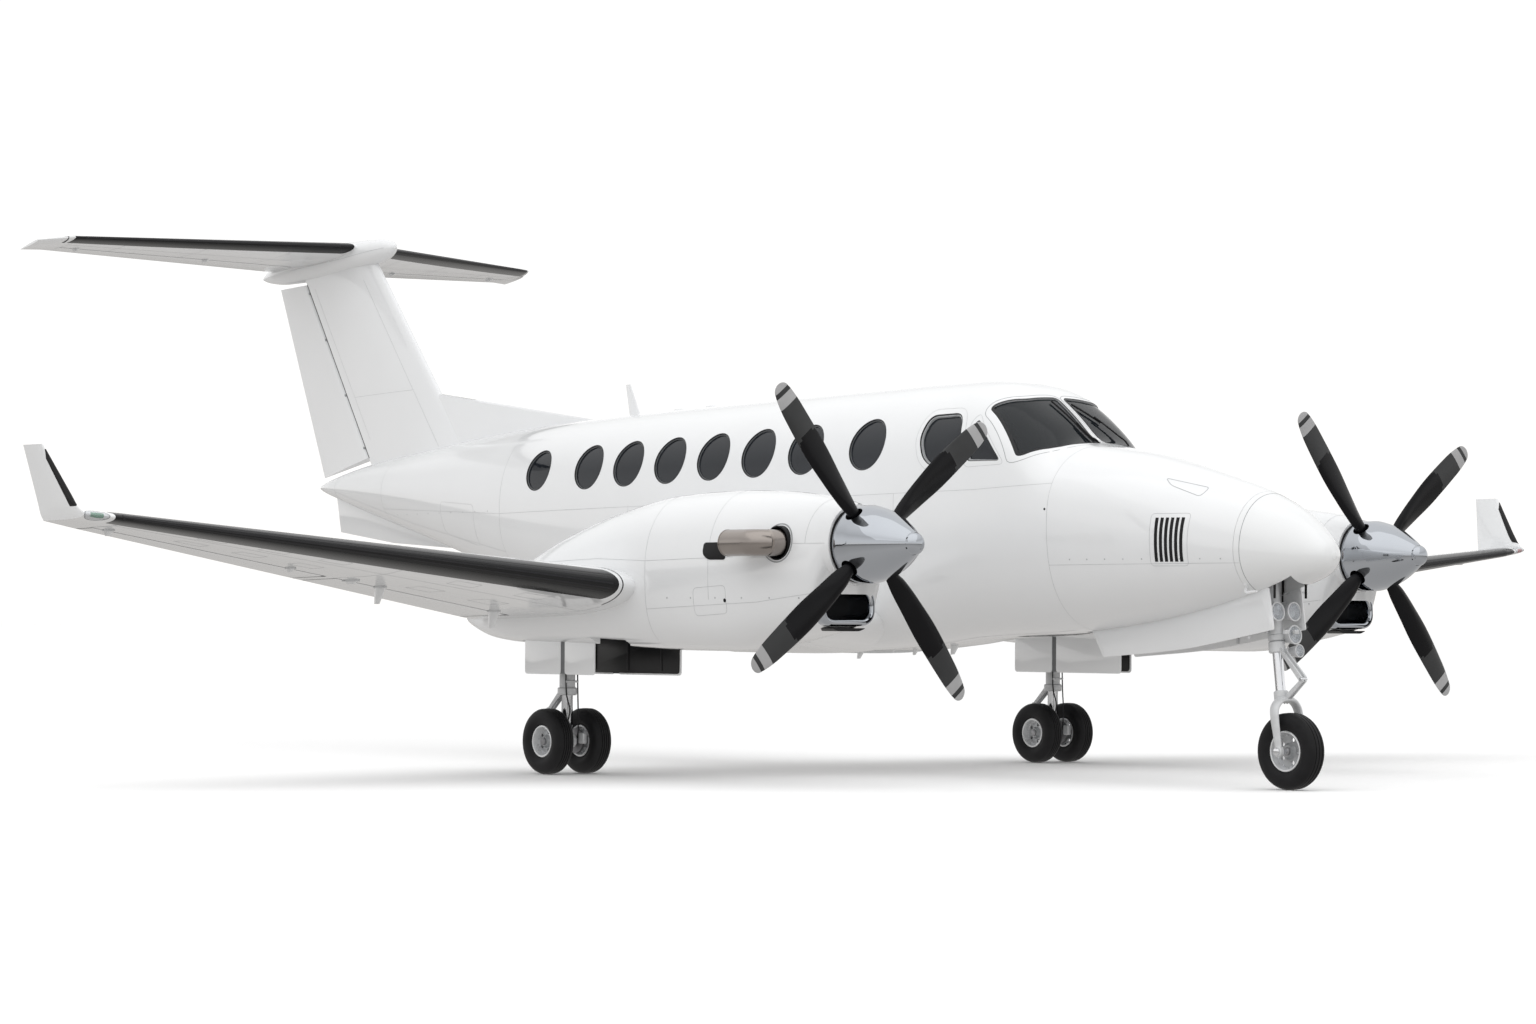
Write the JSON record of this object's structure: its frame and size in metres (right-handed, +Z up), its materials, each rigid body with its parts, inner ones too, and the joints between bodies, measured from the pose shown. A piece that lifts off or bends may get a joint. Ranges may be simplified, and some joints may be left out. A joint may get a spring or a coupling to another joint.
{
  "type": "twin turboprop airplane",
  "caption": "Low-wing turboprop airplane with an engine on each wing, T-tail, winglets and an airstair door, parked on its nose-wheel landing gear.",
  "frame": {"origin": "on the ground under the middle of the overall length, on the symmetry plane", "axes": "nose towards -Y, port wing towards +X, +Z up"},
  "size_m": [15.0852, 13.63, 4.6671],
  "materials": {
    "white_paint": "gloss",
    "white_composite": "gloss",
    "dark_glass": "gloss",
    "cabin_trim": "matte",
    "seat_leather": "satin",
    "polished_metal": "polished",
    "engine_steel": "satin",
    "blade_black": "satin",
    "gear_grey": "satin",
    "wheel_alloy": "satin",
    "tyre_black": "matte"
  },
  "bodies": {
    "airframe": {"radome": "white_composite", "nose_section": "white_paint", "cabin_shell": "white_paint", "aft_fuselage": "white_paint", "windshield_left": "dark_glass", "windshield_right": "dark_glass", "cockpit_side_glass_left": "dark_glass", "cockpit_side_glass_right": "dark_glass", "window_lining_left": "dark_glass", "window_lining_right": "dark_glass", "cabin_floor": "cabin_trim", "instrument_panel": "cabin_trim", "seats": "seat_leather", "wing_left": "white_paint", "wing_right": "white_paint", "winglet_left": "white_paint", "winglet_right": "white_paint", "engine_cowl_left": "white_paint", "engine_cowl_right": "white_paint", "intake_lip_left": "polished_metal", "intake_lip_right": "polished_metal", "nacelle_left": "white_paint", "nacelle_right": "white_paint", "engine_left": "engine_steel", "engine_right": "engine_steel", "main_leg_left": "gear_grey", "main_leg_right": "gear_grey", "main_doors_left": "white_paint", "main_doors_right": "white_paint", "nose_leg": "gear_grey", "nose_doors": "white_paint", "fin": "white_paint", "dorsal_fin": "white_paint", "ventral_fin": "white_paint", "tailplane": "white_paint", "tail_bullet": "white_paint"},
    "door": {"airstair_door": "white_paint"},
    "propeller_left": {"propeller_left": "blade_black", "spinner_left": "polished_metal"},
    "propeller_right": {"propeller_right": "blade_black", "spinner_right": "polished_metal"},
    "main_wheels_left": {"main_rims_left": "wheel_alloy", "main_tyre_inner_left": "tyre_black", "main_tyre_outer_left": "tyre_black"},
    "main_wheels_right": {"main_rims_right": "wheel_alloy", "main_tyre_inner_right": "tyre_black", "main_tyre_outer_right": "tyre_black"},
    "nose_steering": {"nose_fork": "gear_grey"},
    "nose_wheel": {"nose_rim": "wheel_alloy", "nose_tyre": "tyre_black"},
    "rudder": {"rudder": "white_paint"},
    "elevator_left": {"elevator_left": "white_paint"},
    "elevator_right": {"elevator_right": "white_paint"},
    "aileron_left": {"aileron_left": "white_paint"},
    "aileron_right": {"aileron_right": "white_paint"},
    "flap_inboard_left": {"flap_inboard_left": "white_paint"},
    "flap_inboard_right": {"flap_inboard_right": "white_paint"},
    "flap_outboard_left": {"flap_outboard_left": "white_paint"},
    "flap_outboard_right": {"flap_outboard_right": "white_paint"}
  },
  "joints": [
    {"name": "door_hinge", "type": "hinge", "parent": "airframe", "child": "door", "pos_m": [0.63893, 0.88, 1.4555], "axis": [-0.136, 0.9907, 0], "range_deg": [0, 135]},
    {"name": "propeller_left_spin", "type": "hinge", "parent": "airframe", "child": "propeller_left", "pos_m": [2.62, -4.89, 1.705], "axis": [0, -1, 0], "continuous": true},
    {"name": "main_wheels_left_roll", "type": "hinge", "parent": "airframe", "child": "main_wheels_left", "pos_m": [2.57, -1.36, 0.248], "axis": [1, 0, 0], "continuous": true},
    {"name": "propeller_right_spin", "type": "hinge", "parent": "airframe", "child": "propeller_right", "pos_m": [-2.62, -4.89, 1.705], "axis": [0, -1, 0], "continuous": true},
    {"name": "main_wheels_right_roll", "type": "hinge", "parent": "airframe", "child": "main_wheels_right", "pos_m": [-2.57, -1.36, 0.248], "axis": [1, 0, 0], "continuous": true},
    {"name": "nose_steer", "type": "hinge", "parent": "airframe", "child": "nose_steering", "pos_m": [0, -6.30407, 0.76827], "axis": [0, 0.1219, 0.9925], "range_deg": [-48, 48]},
    {"name": "nose_wheel_roll", "type": "hinge", "parent": "nose_steering", "child": "nose_wheel", "pos_m": [0, -6.41, 0.272], "axis": [1, 0, 0], "continuous": true},
    {"name": "rudder_hinge", "type": "hinge", "parent": "airframe", "child": "rudder", "pos_m": [0, 5.526, 3.47], "axis": [0, 0.5353, 0.8447], "range_deg": [-25, 25]},
    {"name": "elevator_left_hinge", "type": "hinge", "parent": "airframe", "child": "elevator_left", "pos_m": [1.35, 6.25201, 4.52495], "axis": [0.9916, 0.129, 0.0127], "range_deg": [-14, 20]},
    {"name": "elevator_right_hinge", "type": "hinge", "parent": "airframe", "child": "elevator_right", "pos_m": [-1.35, 6.25201, 4.52495], "axis": [0.9916, -0.129, -0.0127], "range_deg": [-14, 20]},
    {"name": "aileron_left_hinge", "type": "hinge", "parent": "airframe", "child": "aileron_left", "pos_m": [6.05, -1.78164, 1.65691], "axis": [0.9763, -0.1778, 0.1233], "range_deg": [-20, 20]},
    {"name": "aileron_right_hinge", "type": "hinge", "parent": "airframe", "child": "aileron_right", "pos_m": [-6.05, -1.78164, 1.65691], "axis": [0.9763, 0.1778, -0.1233], "range_deg": [-20, 20]},
    {"name": "flap_inboard_left_hinge", "type": "hinge", "parent": "airframe", "child": "flap_inboard_left", "pos_m": [1.49, -1.20775, 1.12916], "axis": [-0.9953, 0.0175, -0.095], "range_deg": [0, 35]},
    {"name": "flap_outboard_left_hinge", "type": "hinge", "parent": "airframe", "child": "flap_outboard_left", "pos_m": [4, -1.40825, 1.39799], "axis": [-0.9763, 0.1778, -0.1233], "range_deg": [0, 35]},
    {"name": "flap_inboard_right_hinge", "type": "hinge", "parent": "airframe", "child": "flap_inboard_right", "pos_m": [-1.49, -1.20775, 1.12916], "axis": [-0.9953, -0.0175, 0.095], "range_deg": [0, 35]},
    {"name": "flap_outboard_right_hinge", "type": "hinge", "parent": "airframe", "child": "flap_outboard_right", "pos_m": [-4, -1.40825, 1.39799], "axis": [-0.9763, -0.1778, 0.1233], "range_deg": [0, 35]}
  ],
  "couplings": [
    {"joint": "elevator_right_hinge", "follows": "elevator_left_hinge", "ratio": 1},
    {"joint": "aileron_right_hinge", "follows": "aileron_left_hinge", "ratio": -1},
    {"joint": "flap_inboard_right_hinge", "follows": "flap_inboard_left_hinge", "ratio": 1},
    {"joint": "flap_outboard_left_hinge", "follows": "flap_inboard_left_hinge", "ratio": 1},
    {"joint": "flap_outboard_right_hinge", "follows": "flap_inboard_left_hinge", "ratio": 1}
  ]
}
